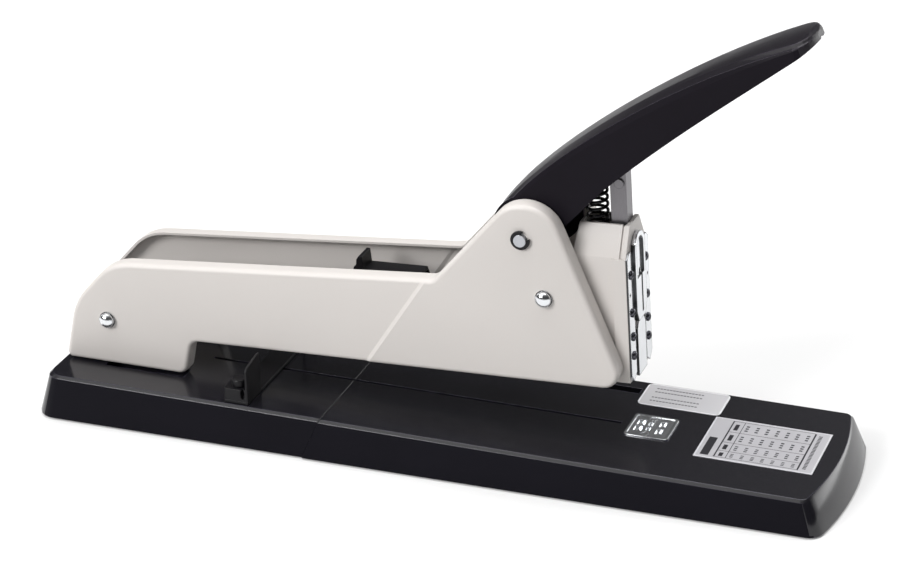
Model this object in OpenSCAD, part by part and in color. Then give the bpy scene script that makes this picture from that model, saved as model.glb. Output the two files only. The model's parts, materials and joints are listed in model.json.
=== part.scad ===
// Heavy-duty long-reach stapler: two pressed side plates carry the magazine and the
// driving head over a long base, and a hollow lever drives the blade down.
//
// Frame: +X towards the driving head, +Z up, origin under the middle of the base's
// bounding box. Stations are millimetres forward of the rear edge of the deck.
//
// The arm is drawn in its own frame (rear pivot at its origin, X along the magazine,
// Z square to it) and then tipped up by arm_tilt. The base stays level; its deck
// falls gently towards the front.

/* [Base] */
// length of the base at floor level
base_len = 452.8; // [440:0.2:540]
// width across the deck edges
base_w = 99.4; // [88:0.2:124]
// height of the deck at its rear edge
deck_h = 26.1; // [22:0.1:34]
// fall of the deck towards the front, degrees
deck_fall = 0.8; // [0.2:0.1:1]
// how far the skirts spread at the floor on each side
side_flare = 2.8; // [1:0.1:6]
// wall of the base shells
shell_t = 2.4; // [1.6:0.1:3.4]
// bulge of the front edge beyond its corners
front_sag = 6.6; // [3:0.1:14]

/* [Arm] */
// width over the two side plates
arm_w = 52.8; // [46:0.2:64]
// sheet thickness of the side plates
plate_t = 1.5; // [1:0.1:2]
// width of the flange turned in round each side plate
flange_w = 8.4; // [5:0.1:8.8]
// outside radius of that bend
bend_r = 2.6; // [2.2:0.1:2.9]
// how far the front of each plate is set outwards
jog = 1; // [0.4:0.1:1.6]
// radius of the ears that hold the lever
ear_r = 20; // [17:0.5:23]
// upward tilt of the arm at rest, degrees
arm_tilt = 1.9; // [1.4:0.1:2.6]

/* [Lever] */
// width of the lever over its cheeks
lever_w = 33.2; // [30:0.2:34.6]
// width of the lever at the grip
grip_w = 37.4; // [33:0.2:46]
// wall of the hollow lever
lever_t = 2; // [1.6:0.1:2.4]
// crown of the lever's top
crown = 2.6; // [0.5:0.1:4]
// diameter of the lever shaft
shaft_d = 6.6; // [5.6:0.1:8]

/* [Head and magazine] */
// outside width of a staple
staple_w = 13; // [10.5:0.1:14]
// height of the magazine core above the nose
core_h = 25; // [18:0.5:27]
// half width of the driving head
head_hw = 17.4; // [15.5:0.1:17.8]
// diameter of the return spring
spring_d = 12.2; // [10:0.1:12.3]

/* [Paper guide] */
// height of the two fences
fence_h = 22; // [12:0.5:26]
// station of the fence face
guide_x = 122; // [116:1:126]

/* [Hidden] */
$fn = 48;
rear_flare = 8.5;
front_flare = 7.2;
corner_x = base_len - rear_flare - front_flare - front_sag;
x0 = -base_len / 2 + rear_flare;
hw = base_w / 2;
edge_r = 1.5;
skirt_z = 1;
rear_corner = 8;
front_corner = 5;
seam_x = 166;
seam_lean = 24;
seam_gap = 0.25;
// stations of the features on the deck
anvil_x = 334.7;
anvil_s = 24;
slot_w = 1.9;
side_slot_y = 37.3;
side_slot_w = 5.6;
label_t = 0.3;
// rear pivot
piv_x = 29.8;
piv_z = deck_h + 27.7;
bolt_d = 6;
// arm frame: bottom of the plates and nose
plate_z = -8.5;
nose_z = -9;
bolt_x = 257.7;
bolt_z = 40.2;
shaft_x = 247;
shaft_z = 72.2;
half = arm_w / 2;
inner = half - plate_t;
flange_y = half - flange_w;
// magazine
core_hw = staple_w / 2 - 1.3;
chan_in = staple_w / 2 + 0.3;
chan_t = 1.2;
chan_out = chan_in + chan_t;
core_z = nose_z + core_h;
floor_z = -8.3;
chan_rear = -9;
chan_front = 296.4;
// driver
blade_x = 296.9;
blade_t = 1.2;
plunger_x = 288.2;
plunger_f = 296.8;
plunger_hw = 4.5;
plunger_top = 108.2;
pin_x = 293.2;
pin_z = 97.8;
stroke = 26.6;
spring_x = 279.6;
lug_z = 100;
seat_z = 38;
// head
head_f = 299;
head_top = 76.3;
head_sh = 61.5;
head_th = 1.6;
lever_hw = lever_w / 2;
grip_hw = grip_w / 2;

// ---- frames -------------------------------------------------------------------

module at_station() translate([x0, 0, 0]) children();

// on the deck: X forward from its rear edge, Z square to its surface
module deck_plane() translate([0, 0, deck_h]) rotate([0, deck_fall, 0]) children();

module on_deck() at_station() deck_plane() children();

module on_arm() translate([x0 + piv_x, 0, piv_z]) rotate([0, -arm_tilt, 0]) children();

module pair() {
  children();
  mirror([0, 1, 0]) children();
}

// extrudes an outline drawn as [x, z] across Y from y0 to y1
module across(y0, y1) translate([0, y1, 0]) rotate([90, 0, 0]) linear_extrude(y1 - y0) children();

module rod_y(d, y0, y1) translate([0, y1, 0]) rotate([90, 0, 0]) cylinder(d = d, h = y1 - y0);

module block(x, y, z) translate([x[0], y[0], z[0]]) cube([x[1] - x[0], y[1] - y[0], z[1] - z[0]]);

// ---- outlines with rounded corners ----------------------------------------------

function unit(v) = v / norm(v);
function left(v) = [-v[1], v[0]];
function cross2(a, b) = a[0] * b[1] - a[1] * b[0];
function mix(a, b, t) = a * (1 - t) + b * t;

// corner c of list p moved inwards by i, the list running anticlockwise
function moved(p, k, i) =
  let (n = len(p), c = [p[k][0], p[k][1]],
       a = unit(c - [p[(k + n - 1) % n][0], p[(k + n - 1) % n][1]]),
       b = unit([p[(k + 1) % n][0], p[(k + 1) % n][1]] - c),
       m = left(a) + left(b))
  c + m * i / (1 + left(a) * left(b));

// arc that rounds corner k; p holds [x, y, radius, segments]
function corner(p, k, i) =
  let (n = len(p), c = moved(p, k, i),
       a = unit(c - moved(p, (k + n - 1) % n, i)),
       b = unit(moved(p, (k + 1) % n, i) - c),
       s = cross2(a, b) > 0 ? 1 : -1,
       r = p[k][2] - s * i,
       turn = acos(a * b),
       start = c - a * r * tan(turn / 2),
       mid = start + left(a) * r * s,
       a0 = atan2(start[1] - mid[1], start[0] - mid[0]))
  [for (j = [0 : p[k][3]]) mid + r * [cos(a0 + s * turn * j / p[k][3]), sin(a0 + s * turn * j / p[k][3])]];

function rounded(p, i = 0) = [for (k = [0 : len(p) - 1]) each corner(p, k, i)];

// where the line through a and b meets the edge after corner k, moved inwards by i
function meet(p, k, i, a, b) =
  let (c = moved(p, k, i), d = moved(p, (k + 1) % len(p), i) - c, e = b - a)
  c + d * (cross2(a - c, e) / cross2(d, e));

// triangles between ring r and the next one, n points each
function band(r, n) = [for (j = [0 : n - 1])
  each let (a = r * n + j, b = r * n + (j + 1) % n) [[a, b, b + n], [a, b + n, a + n]]];

// ---- base -------------------------------------------------------------------------

function deck_z(x) = deck_h - x * tan(deck_fall);

// plan of the base: o outwards at the sides, share f of the flare and i inwards at the ends
function base_plan(o, f, i) =
  let (w = hw + o, sag = front_sag, n = 10, k = 5, rear = i - rear_flare * f, front = front_flare * f - i,
       cr = rear_corner + 4 * f, fr = front_corner + o,
       r = (w * w + sag * sag) / (2 * sag), mid = corner_x + front + sag - r,
       fx = mid + sqrt((r - fr) * (r - fr) - (w - fr) * (w - fr)), a = asin((w - fr) / (r - fr)))
  concat(
    [for (j = [0 : 6]) [rear + cr - cr * sin(15 * j), w - cr + cr * cos(15 * j)]],
    [for (j = [0 : 6]) [rear + cr - cr * cos(15 * j), -w + cr - cr * sin(15 * j)]],
    [for (j = [0 : k]) let (t = -90 + (90 - a) * j / k) [fx + fr * cos(t), -w + fr + fr * sin(t)]],
    [for (j = [-n + 1 : n - 1]) [mid + r * cos(a * j / n), r * sin(a * j / n)]],
    [for (j = [k : -1 : 0]) let (t = 90 - (90 - a) * j / k) [fx + fr * cos(t), w - fr + fr * sin(t)]]);

// ring of the base shell at depth d under the deck, or at height z
function base_ring(o, f, i, d, z = undef) =
  [for (q = base_plan(o, f, i)) [q[0], q[1], is_undef(z) ? deck_z(q[0]) - d : z]];

module base_shell(trim) {
  t = shell_t;
  rings = [
    base_ring(side_flare - trim - t, 1, t, 0, skirt_z),
    base_ring(side_flare - trim, 1, 0, 0, skirt_z),
    base_ring(side_flare - trim, 1, 0, 0, skirt_z + 1.2),
    base_ring(0.15 - trim, 0.12, 0, edge_r),
    base_ring(-edge_r - trim, 0.12, edge_r, 0),
    base_ring(-edge_r - t - trim, 0.12, edge_r + t, t)];
  n = len(rings[0]);
  m = len(rings);
  polyhedron(
    points = [for (r = rings) each r],
    faces = concat(
      [for (r = [0 : m - 3]) each [for (f = band(r, n)) [f[2], f[1], f[0]]]],
      [[for (j = [n - 1 : -1 : 0]) (m - 2) * n + j]],
      [[for (j = [0 : n - 1]) (m - 1) * n + j]],
      [for (j = [0 : n - 1]) each let (a = (m - 1) * n + j, b = (m - 1) * n + (j + 1) % n, k = (j + 1) % n)
        [[a, k, b], [a, j, k]]]),
    convexity = 6);
}

// everything ahead of the slanted seam, shifted by g
module ahead_of_seam(g) translate([seam_x + g, 0, deck_h]) rotate([0, seam_lean, 0])
  block([0, base_len], [-base_w, base_w], [-base_len, base_len]);

module deck_slots() deck_plane() {
  block([80, 318], [-slot_w / 2, slot_w / 2], [-8, 4]);
  block([206, 317], [side_slot_y - side_slot_w / 2, side_slot_y + side_slot_w / 2], [-8, 4]);
}

// wells that let the feet of the side plates swing below the deck, grown by g
module foot_wells(g, up) pair() translate([0, 0, deck_h])
  block([26 - g, piv_x + 44.2 + g], [flange_y - 0.7 - g, half + 1 + g], [-6.2 - g, up]);

module base_ribs(x1, x2, step, w) for (x = [x1 : step : x2])
  block([x - 1, x + 1], [-w, w], [9, deck_z(x) - shell_t + 0.2]);

module boss(x, y, d) translate([x, y, 3.2]) difference() {
  cylinder(d = d, h = deck_z(x) - shell_t - 3);
  translate([0, 0, -1]) cylinder(d = 3, h = 14);
}

module base_front() color("#26242a") at_station() difference() {
  union() {
    intersection() {
      base_shell(0);
      ahead_of_seam(seam_gap / 2);
    }
    base_ribs(200, corner_x - 40, 44, hw - 0.4);
    for (y = [-38, 38]) {
      boss(192, y, 11);
      boss(corner_x - 18, y, 11);
    }
    translate([anvil_x, 0, 12]) cylinder(d = 30, h = deck_z(anvil_x) - 14);
  }
  deck_slots();
  deck_plane() block([anvil_x - anvil_s / 2 - 0.1, anvil_x + anvil_s / 2 + 0.1],
                  [-anvil_s / 2 - 0.1, anvil_s / 2 + 0.1], [-1.2, 3]);
  deck_plane() for (y = [-8.4, 8.4]) translate([anvil_x - 1, y, -9]) cylinder(d = 2.6, h = 12);
}

module base_rear() color("#26242a") at_station() difference() {
  union() {
    difference() {
      base_shell(0.9);
      ahead_of_seam(-seam_gap / 2);
    }
    base_ribs(76, 140, 32, hw - 1.3);
    for (y = [-38, 38]) boss(24, y, 11);
    for (x = [14, 52], y = [-8, 8]) translate([x, y, 10]) cylinder(d = 8, h = deck_z(x) - 11);
    foot_wells(2.2, -1.8);
  }
  deck_slots();
  foot_wells(0, 6);
  for (x = [14, 52], y = [-8, 8]) translate([x, y, 8]) cylinder(d = 3, h = 24);
}

function foot_at() = [[24, 38], [24, -38], [192, 38], [192, -38], [corner_x - 18, 38],
  [corner_x - 18, -38]];

module rubber_feet() color("#1b1b1d") at_station() for (q = foot_at()) translate([q[0], q[1], 0])
  difference() {
    cylinder(d1 = 13, d2 = 14.4, h = 3);
    translate([0, 0, -1]) cylinder(d = 7.4, h = 2.4);
    cylinder(d = 3.2, h = 5);
  }

module foot_screws() color("#b8babd") at_station() for (q = foot_at()) translate([q[0], q[1], 0]) {
  translate([0, 0, 0.6]) cylinder(d = 6, h = 0.8);
  translate([0, 0, 1]) cylinder(d = 2.9, h = 12);
}

// ---- hinge and deck furniture --------------------------------------------------------

module hinge_bracket() color("#9b9da0") at_station() difference() {
  bz = deck_h + 0.1;
  cheek = flange_y - 1.4;
  up = piv_z - bz;
  union() {
    translate([0, 0, bz]) block([8, 58], [-cheek, cheek], [0, 1.8]);
    pair() translate([piv_x, 0, piv_z]) across(cheek - 2.2, cheek) {
      circle(r = 8);
      polygon([[-8, 0], [8, 0], [24, -up], [-21.8, -up]]);
    }
  }
  translate([piv_x, 0, piv_z]) rod_y(bolt_d + 0.1, -30, 30);
  for (x = [14, 52], y = [-8, 8]) translate([x, y, bz - 1]) cylinder(d = 3.4, h = 5);
}

module bracket_screws() color("#b8babd") at_station() for (x = [14, 52], y = [-8, 8])
  translate([x, y, deck_h + 2]) {
    cylinder(d = 5.6, h = 1.6);
    translate([0, 0, -13]) cylinder(d = 2.9, h = 13.1);
  }

// square of half side s round the middle of the anvil
module anvil_square(s, r) translate([anvil_x, 0])
  polygon(rounded([[-s, -s, r, 4], [s, -s, r, 4], [s, s, r, 4], [-s, s, r, 4]]));

// trough that bends one leg of a staple: across the deck, w long and d wide
module leg_pocket(x, y, w, d) translate([anvil_x + x, y, 1.35]) rotate([90, 0, 0]) scale([d / 4, 1, 1])
  cylinder(d = 4, h = w, center = true);

module anvil_plate() color("#c9cbcc") on_deck() difference() {
  s = anvil_s / 2;
  translate([0, 0, -1.15]) linear_extrude(1.85) anvil_square(s, 2);
  // floor inside the raised rim
  translate([0, 0, 0.4]) linear_extrude(1) anvil_square(s - 1.4, 1);
  for (y = [-1, 1]) {
    leg_pocket(-6.2, y * 3.3, 5.2, 5);
    leg_pocket(-0.8, y * 2.6, 3.4, 3);
    leg_pocket(5.4, y * 4, 5.4, 4);
    translate([anvil_x - 1, y * 8.4, -3]) cylinder(d = 2.8, h = 6);
    translate([anvil_x - 1, y * 8.4, -0.3]) cylinder(d1 = 2.8, d2 = 4.6, h = 0.9);
  }
}

module anvil_screws() color("#a9abae") on_deck() for (y = [-8.4, 8.4]) translate([anvil_x - 1, y, -0.3]) {
  cylinder(d1 = 2.6, d2 = 3.9, h = 0.65);
  translate([0, 0, -5.8]) cylinder(d = 2.5, h = 6);
}

module scale_label() color("#c4c5c6") on_deck() block([363.8, 426.9], [-22.2, 22.2], [0.02, label_t]);

module notice_label() color("#c4c5c6") on_deck() translate([342, 35.4, 0.02]) linear_extrude(label_t)
  polygon(rounded([[-23, -12.1, 3, 4], [23, -12.1, 3, 4], [23, 12.1, 3, 4], [-23, 12.1, 3, 4]]));

guide_end = hw - 3.6;
guide_hub = guide_end - 6.1;
hub_h = 8.6;

module paper_guide() color("#242228") on_deck() difference() {
  e = guide_end;
  n = half + jog + 1.4;
  gx = guide_x;
  union() {
    block([gx - 14, gx], [-e, e], [0.15, 1.6]);
    // clamp blocks behind both fences
    pair() translate([0, 0, 0.15]) linear_extrude(hub_h - 0.15)
      polygon(rounded([[gx - 14.2, e - 12.4, 1.5, 3], [gx - 0.2, e - 12.4, 1, 2], [gx - 0.2, e - 0.1, 1, 2],
                       [gx - 14.2, e - 0.1, 1.5, 3]]));
    pair() along_x(gx - 1.2, gx)
      polygon([[n, 0.5], [e, 0.5], [e, fence_h - 2], [e - 1.5, fence_h - 0.4], [n + 3, fence_h + 1.8],
        [n, fence_h + 1.4]]);
  }
  // bore of the clamp screw and the slot in the block's outer face
  translate([gx - 7.2, -guide_hub, -1]) cylinder(d = 4.2, h = hub_h + 3);
  translate([gx - 3, -e, 6]) scale([0.45, 1, 1]) sphere(d = 6, $fn = 24);
}

module guide_knob() color("#1f1e23") on_deck() translate([guide_x - 7.2, -guide_hub, 0]) {
  translate([0, 0, hub_h + 0.1]) rotate_extrude()
    polygon([[0, 0], [4.2, 0], [4.2, 3.4], [3.7, 4.1], [0, 4.3]]);
  translate([0, 0, 3]) cylinder(d = 4, h = hub_h - 2);
}

// ---- side plates ----------------------------------------------------------------------

// outline of a side plate: [x, z, radius, segments], anticlockwise from the foot's heel
PLATE = [
  [-29.7, -26.1, 3.2, 5],
  [44.8, -29, 6, 5],
  [50.2, plate_z, 5, 4],
  [299.7, plate_z, 9, 7],
  [255.6, 108.1, ear_r, 14],
  [196.3, 44, 5.5, 4],
  [5.3, 34.4, 30, 7],
  [-19.9, 8.9, 40, 5]];

// the two lines that bound the slope of the jog, rear and front
JOG_A = [[153, plate_z], [190.4, 43.7]];
JOG_B = [[155.6, plate_z], [193, 43.8]];

function plate_ring(i, y, w) =
  let (rear = concat(corner(PLATE, 0, i), corner(PLATE, 1, i), corner(PLATE, 2, i),
                     [meet(PLATE, 2, i, JOG_A[0], JOG_A[1])]),
       front = concat([meet(PLATE, 2, i, JOG_B[0], JOG_B[1])], corner(PLATE, 3, i), corner(PLATE, 4, i),
                      corner(PLATE, 5, i), [meet(PLATE, 5, i, JOG_B[0], JOG_B[1])]),
       back = concat([meet(PLATE, 5, i, JOG_A[0], JOG_A[1])], corner(PLATE, 6, i), corner(PLATE, 7, i)))
  concat([for (q = rear) [q[0], y - half, q[1]]],
         [for (q = front) [q[0], y - half - jog * w, q[1]]],
         [for (q = back) [q[0], y - half, q[1]]]);

plate_na = 6 + 6 + 5 + 1;
plate_nb = 1 + 8 + 15 + 5 + 1;
plate_n = plate_na + plate_nb + 1 + 8 + 6;

// triangles from the first of the points p to each pair that follows
function fan(p) = [for (j = [1 : len(p) - 2]) [p[0], p[j], p[j + 1]]];

// three flat pieces of the plate's face: behind the slope, the slope, ahead of it
function plate_caps(o) =
  let (a = plate_na, b = plate_nb, n = plate_n)
  concat(
    fan(concat([for (j = [a + b + 1 : n - 1]) o + j], [for (j = [0 : a - 1]) o + j], [o + a + b])),
    [[o + a - 1, o + a, o + a + b - 1, o + a + b]],
    fan([for (j = [a : a + b - 1]) o + j]));

module side_plate() {
  r = bend_r;
  t = plate_t;
  arc = [0, 18, 36, 54, 72, 90];
  rings = concat(
    [for (a = arc) plate_ring(r - r * sin(a), r - r * cos(a), 1)],
    [plate_ring(0, flange_w, 0), plate_ring(t, flange_w, 0)],
    [for (k = [5 : -1 : 0]) plate_ring(r - (r - t) * sin(arc[k]), r - (r - t) * cos(arc[k]), 1)]);
  n = plate_n;
  m = len(rings);
  difference() {
    polyhedron(
      points = [for (q = rings) each q],
      faces = concat(
        [for (f = plate_caps(0)) [for (j = [len(f) - 1 : -1 : 0]) f[j]]],
        [for (k = [0 : m - 2]) each band(k, n)],
        plate_caps((m - 1) * n)),
      convexity = 8);
    rod_y(bolt_d + 0.1, -40, 0);
    translate([bolt_x, 0, bolt_z]) rod_y(bolt_d + 0.1, -40, 0);
    translate([shaft_x, 0, shaft_z]) rod_y(shaft_d + 0.1, -40, 0);
  }
}

module side_plate_near() color("#d0cac4") on_arm() side_plate();

module side_plate_far() color("#d0cac4") on_arm() mirror([0, 1, 0]) side_plate();

// ---- bolts ----------------------------------------------------------------------------

module dome_nut(y) translate([0, -y, 0]) rotate([90, 0, 0]) {
  cylinder(d = 9.4, h = 0.8);
  translate([0, 0, 0.8]) intersection() {
    cylinder(d = 8.6, h = 3.6);
    translate([0, 0, -2.4]) sphere(d = 11.6);
  }
}

module rear_pivot_bolt() color("#b5b7ba") on_arm() rod_y(bolt_d, -half - 0.6, half + 0.6);

module rear_spacers() color("#a5a7aa") on_arm() pair() difference() {
  rod_y(10, flange_y - 1.3, inner - 0.1);
  rod_y(bolt_d + 0.1, 0, 40);
}

module rear_dome_nuts() color("#c3c5c8") on_arm() pair() difference() {
  dome_nut(half + 0.05);
  rod_y(bolt_d + 0.04, -half - 0.7, 0);
}

module front_bolt() color("#b5b7ba") on_arm() translate([bolt_x, 0, bolt_z])
  rod_y(bolt_d, -half - jog - 0.6, half + jog + 0.6);

module front_dome_nuts() color("#c3c5c8") on_arm() translate([bolt_x, 0, bolt_z]) pair() difference() {
  dome_nut(half + jog + 0.05);
  rod_y(bolt_d + 0.04, -half - jog - 0.7, 0);
}

// ---- magazine ---------------------------------------------------------------------------

module magazine_channel() color("#8f9194") on_arm() difference() {
  block([chan_rear, chan_front], [-chan_out, chan_out], [floor_z, core_z - 1]);
  block([chan_rear - 1, chan_front + 1], [-chan_in, chan_in], [floor_z + chan_t, core_z]);
  block([chan_rear - 1, 70], [-chan_out - 1, chan_out + 1], [9, core_z]);
  block([-4, 34], [-chan_in + 1, chan_in - 1], [floor_z - 1, 0]);
  block([292.6, chan_front + 1], [-chan_in, chan_in], [floor_z - 1, 0]);
  rod_y(bolt_d + 0.1, -20, 20);
}

module magazine_core() color("#a4a6a9") on_arm() difference() {
  z0 = floor_z + chan_t + 0.05;
  block([62, 296.3], [-core_hw, core_hw], [z0, core_z]);
  block([60, 294.4], [-core_hw + 1.2, core_hw - 1.2], [z0 - 1, core_z - 1.2]);
  block([74, 286], [-1.4, 1.4], [z0, core_z + 1]);
  for (x = [80, 180, 280]) translate([x, 0, 2]) rod_y(2.6, -20, 20);
}

module core_rivets() color("#b5b7ba") on_arm() for (x = [80, 180, 280]) translate([x, 0, 2])
  rod_y(2.5, -core_hw - 0.1, core_hw + 0.1);

top_z = 36;
fol_hw = 6;

module staple_follower() color("#232127") on_arm() {
  lap = core_hw + 0.25;
  // shoe that runs astride the core and pushes the staples
  difference() {
    block([149.4, 288], [-chan_in + 0.1, chan_in - 0.1], [floor_z + chan_t + 2, core_z + 1.8]);
    block([148, 289], [-lap, lap], [floor_z, core_z + 0.25]);
  }
  // channel that carries the pull above the staples
  difference() {
    across(-fol_hw, fol_hw) polygon([[148, core_z + 1], [186, core_z + 1], [180, top_z], [148, top_z]]);
    block([147, 190], [-fol_hw + 1.2, fol_hw - 1.2], [core_z + 1.6, top_z - 1.5]);
  }
  // finger tab with a stepped rear face
  across(-fol_hw, fol_hw) polygon([
    [141.8, top_z - 0.9], [142.4, top_z + 1.2], [143.7, top_z + 1.9], [144.1, top_z + 5.4],
    [145.4, top_z + 7.4], [147.4, top_z + 7.4], [147.9, top_z - 0.2], [149.4, top_z - 0.4],
    [149.4, top_z - 1.5], [142.6, top_z - 1.7]]);
  // lug that the spring pulls on
  block([200, 203], [-1.2, 1.2], [2, core_z + 1.5]);
}

// close-wound tension spring inside the core, drawn as ridges
module follower_spring() color("#6d6f73") on_arm() translate([203.2, 0, 6.7]) rotate([0, 90, 0])
  rotate_extrude($fn = 20) polygon(concat(
    [[1.8, 0]],
    [for (k = [0 : 26]) each [[2.5, 3 * k], [3.2, 3 * k + 1.5]]],
    [[2.5, 81], [1.8, 81]]));

// ---- driving head ---------------------------------------------------------------------------

// section of the housing across Y, narrow at the top and sloping out to the full width
module head_section(w, top, sh, bottom, neck) polygon(
  [[-w, bottom], [w, bottom], [w, sh], [neck, top], [-neck, top], [-w, sh]]);

module along_x(x0, x1) translate([x0, 0, 0]) rotate([90, 0, 90]) linear_extrude(x1 - x0) children();

// the sides stand back by pad_t behind two pads along the front edge
pad_t = 1.2;

module head_housing() color("#d0cac4") on_arm() difference() {
  w = head_hw - pad_t;
  t = head_th;
  union() {
    difference() {
      along_x(256, head_f) head_section(w, head_top, head_sh, plate_z, 7.7);
      along_x(250, head_f - 2.4) head_section(w - t, head_top - t, head_sh - 0.6, plate_z - 1, 6.9);
      // the rear edge leans back towards the foot of the housing
      across(-40, 40) polygon([[240, 90], [272.2, 90], [272.2, head_top], [261, nose_z - 4],
        [240, nose_z - 4]]);
      // groove behind the folded front plate
      along_x(295.4, 296.7) difference() {
        translate([-40, head_sh - 1.2]) square([80, 30]);
        head_section(w - 0.7, head_top - 0.7, head_sh - 0.3, plate_z, 7.2);
      }
    }
    pair() block([291.6, head_f], [w - 0.5, w + pad_t], [plate_z, head_sh - 0.4]);
    // lugs on the front bolt
    pair() across(w - t, w) {
      translate([bolt_x, bolt_z]) circle(r = 7);
      polygon([[bolt_x, bolt_z - 7], [274, bolt_z - 12], [274, bolt_z + 12], [bolt_x, bolt_z + 7]]);
    }
    // seat of the return spring
    block([269.6, 287.6], [-w + t - 0.3, w - t + 0.3], [seat_z - 2.2, seat_z]);
    // cheeks that steer the plunger and hold the nose of the magazine
    pair() block([286.6, head_f - 1], [chan_out + 0.1, w - t + 0.3], [plate_z, 30]);
  }
  block([273.4, 296.95], [-6.4, 6.4], [core_z + 3, head_top + 2]);
  // groove for the blade
  block([head_f - 4, blade_x + blade_t + 0.1], [-staple_w / 2 - 0.1, staple_w / 2 + 0.1], [nose_z - 2, 71]);
  // window behind the slot of the face bar
  block([head_f - 2, head_f + 1], [0.5, 2.4], [24, 50]);
  translate([bolt_x, 0, bolt_z]) rod_y(bolt_d + 0.1, -30, 30);
  for (y = [-12.4, 12.4], z = SCREW_Z) translate([head_f - 3.4, y, z]) rotate([0, 90, 0])
    cylinder(d = 2.2, h = 6);
}

strip_in = 8.5;
// heights of the screws along each strip
SCREW_Z = [50.9, 29.7, 16.2, 5.4];

module face_strip() difference() {
  translate([head_f + 0.05, 0, 0]) along_x(0, 1)
    polygon([[-head_hw, 61], [-head_hw, -4.6], [-13.4, nose_z], [-strip_in, -5.6], [-strip_in, 61],
             [-strip_in - 3, 63.5],
             [-head_hw + 3, 63.5]]);
  for (z = SCREW_Z) translate([head_f - 1, -12.4, z]) rotate([0, 90, 0]) cylinder(d = 2.2, h = 3);
  translate([head_f - 1, -14.6, 40.4]) rotate([0, 90, 0]) cylinder(d = 1.4, h = 3);
}

module face_strip_near() color("#d9dbde") on_arm() face_strip();

module face_strip_far() color("#d9dbde") on_arm() mirror([0, 1, 0]) face_strip();

module face_guide_bar() color("#e2e4e6") on_arm() {
  x = head_f + 0.05;
  difference() {
    union() {
      along_x(x, x + 2.3) polygon([[-strip_in + 0.2, 62], [-strip_in + 0.2, 28], [-5.4, 22], [5.4, 22],
        [strip_in - 0.2, 28], [strip_in - 0.2, 62]]);
      translate([x, 0, 62]) rotate([0, 90, 0]) cylinder(r = strip_in - 0.2, h = 2.3);
      along_x(x, x + 1.5) polygon([
        [-4.2, 23], [-4.2, 21.6], [-6.6, 17.6], [-6.6, nose_z], [6.6, nose_z], [6.6, 17.6],
        [4.2, 21.6], [4.2, 23]]);
    }
    block([x - 1, x + 4], [0.6, 2.3], [25, 49]);
    translate([x + 1.2, 0, 62]) rotate([0, 90, 0]) cylinder(r = 5.4, h = 3);
    block([x + 1.2, x + 4], [-5.4, 5.4], [46, 62]);
  }
}

module face_screws() color("#b9bbbf") on_arm() for (y = [-12.4, 12.4], z = SCREW_Z)
  translate([head_f - 3.2, y, z]) rotate([0, 90, 0]) {
    cylinder(d = 2.1, h = 4.2);
    translate([0, 0, 4.3]) cylinder(d1 = 4.8, d2 = 4, h = 1.5);
    translate([0, 0, 4.1]) cylinder(d = 2.1, h = 0.4);
  }

// ---- driver -------------------------------------------------------------------------------

module plunger() color("#8e8f93") on_arm() difference() {
  p = plunger_hw;
  c = (plunger_x + plunger_f) / 2;
  union() {
    block([plunger_x, plunger_f], [-p, p], [61.5, plunger_top]);
    translate([c, 0, plunger_top]) rod_y(plunger_f - plunger_x, -p, p);
    // lug over the return spring
    block([274, plunger_x + 1], [-p, p], [lug_z, lug_z + 1.6]);
  }
  block([plunger_x - 1, plunger_f - 1.5], [-p + 1.4, p - 1.4], [60, plunger_top - 5]);
  translate([pin_x, 0, pin_z]) rod_y(3.1, -10, 10);
}

module driver_blade() color("#c6c8cb") on_arm() {
  block([blade_x, blade_x + blade_t], [-staple_w / 2, staple_w / 2], [nose_z + stroke + 0.1, 64]);
  block([blade_x, blade_x + blade_t], [-3.4, 3.4], [60, 70]);
}

module blade_rivet() color("#9a9b9f") on_arm() translate([pin_x, 0, pin_z]) {
  rod_y(3, -plunger_hw - 0.1, plunger_hw + 0.1);
  rod_y(5.2, -plunger_hw - 1, -plunger_hw - 0.05);
  rod_y(5.2, plunger_hw + 0.05, plunger_hw + 1);
}

// wire of radius w wound n turns of radius r over height h, as rings of m points
module coil(r, w, n, h, m = 6, per = 12) {
  count = n * per;
  function at(k) = let (a = 360 * k / per) [for (j = [0 : m - 1])
    [(r + w * cos(360 * j / m)) * cos(a), (r + w * cos(360 * j / m)) * sin(a),
      w + (h - 2 * w) * k / count + w * sin(360 * j / m)]];
  polyhedron(
    points = [for (k = [0 : count]) each at(k)],
    faces = concat([for (k = [0 : count - 1]) each band(k, m)],
      [[for (j = [m - 1 : -1 : 0]) j]], [[for (j = [0 : m - 1]) count * m + j]]),
    convexity = 8);
}

module return_spring() color("#17171a") on_arm() translate([spring_x, 0, seat_z + 0.1])
  coil(spring_d / 2 - 0.85, 0.85, 17, lug_z - seat_z - 0.2, 5);

// ---- lever ----------------------------------------------------------------------------------

// Bezier curve through its first and last control points
function bezier(p, t) = len(p) == 1 ? p[0] :
  bezier([for (k = [0 : len(p) - 2]) mix(p[k], p[k + 1], t)], t);

// top edge and lower edge of the lever's side, from the shaft's centre
TOP = [[-13.4, 11], [5.6, 36], [36.4, 54.6], [71.4, 83], [118.2, 101.4], [149.6, 111.6]];
LOW = [[42.2, 26.7], [79.5, 59], [107.3, 77.4], [150.8, 109]];
LOW_START = [15.2, -0.6];
low_share = 0.16;
cav_end = 0.93;

function top_at(s) = bezier(TOP, s);
function low_at(s) = s < low_share ? mix(LOW_START, LOW[0], s / low_share)
  : bezier(LOW, (s - low_share) / (1 - low_share));

function lever_half(s) = mix(lever_hw, grip_hw, min(1, s / 0.4))
  * (s < 0.94 ? 1 : sqrt(1 - 0.97 * pow((s - 0.94) / 0.06, 2)));

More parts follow.
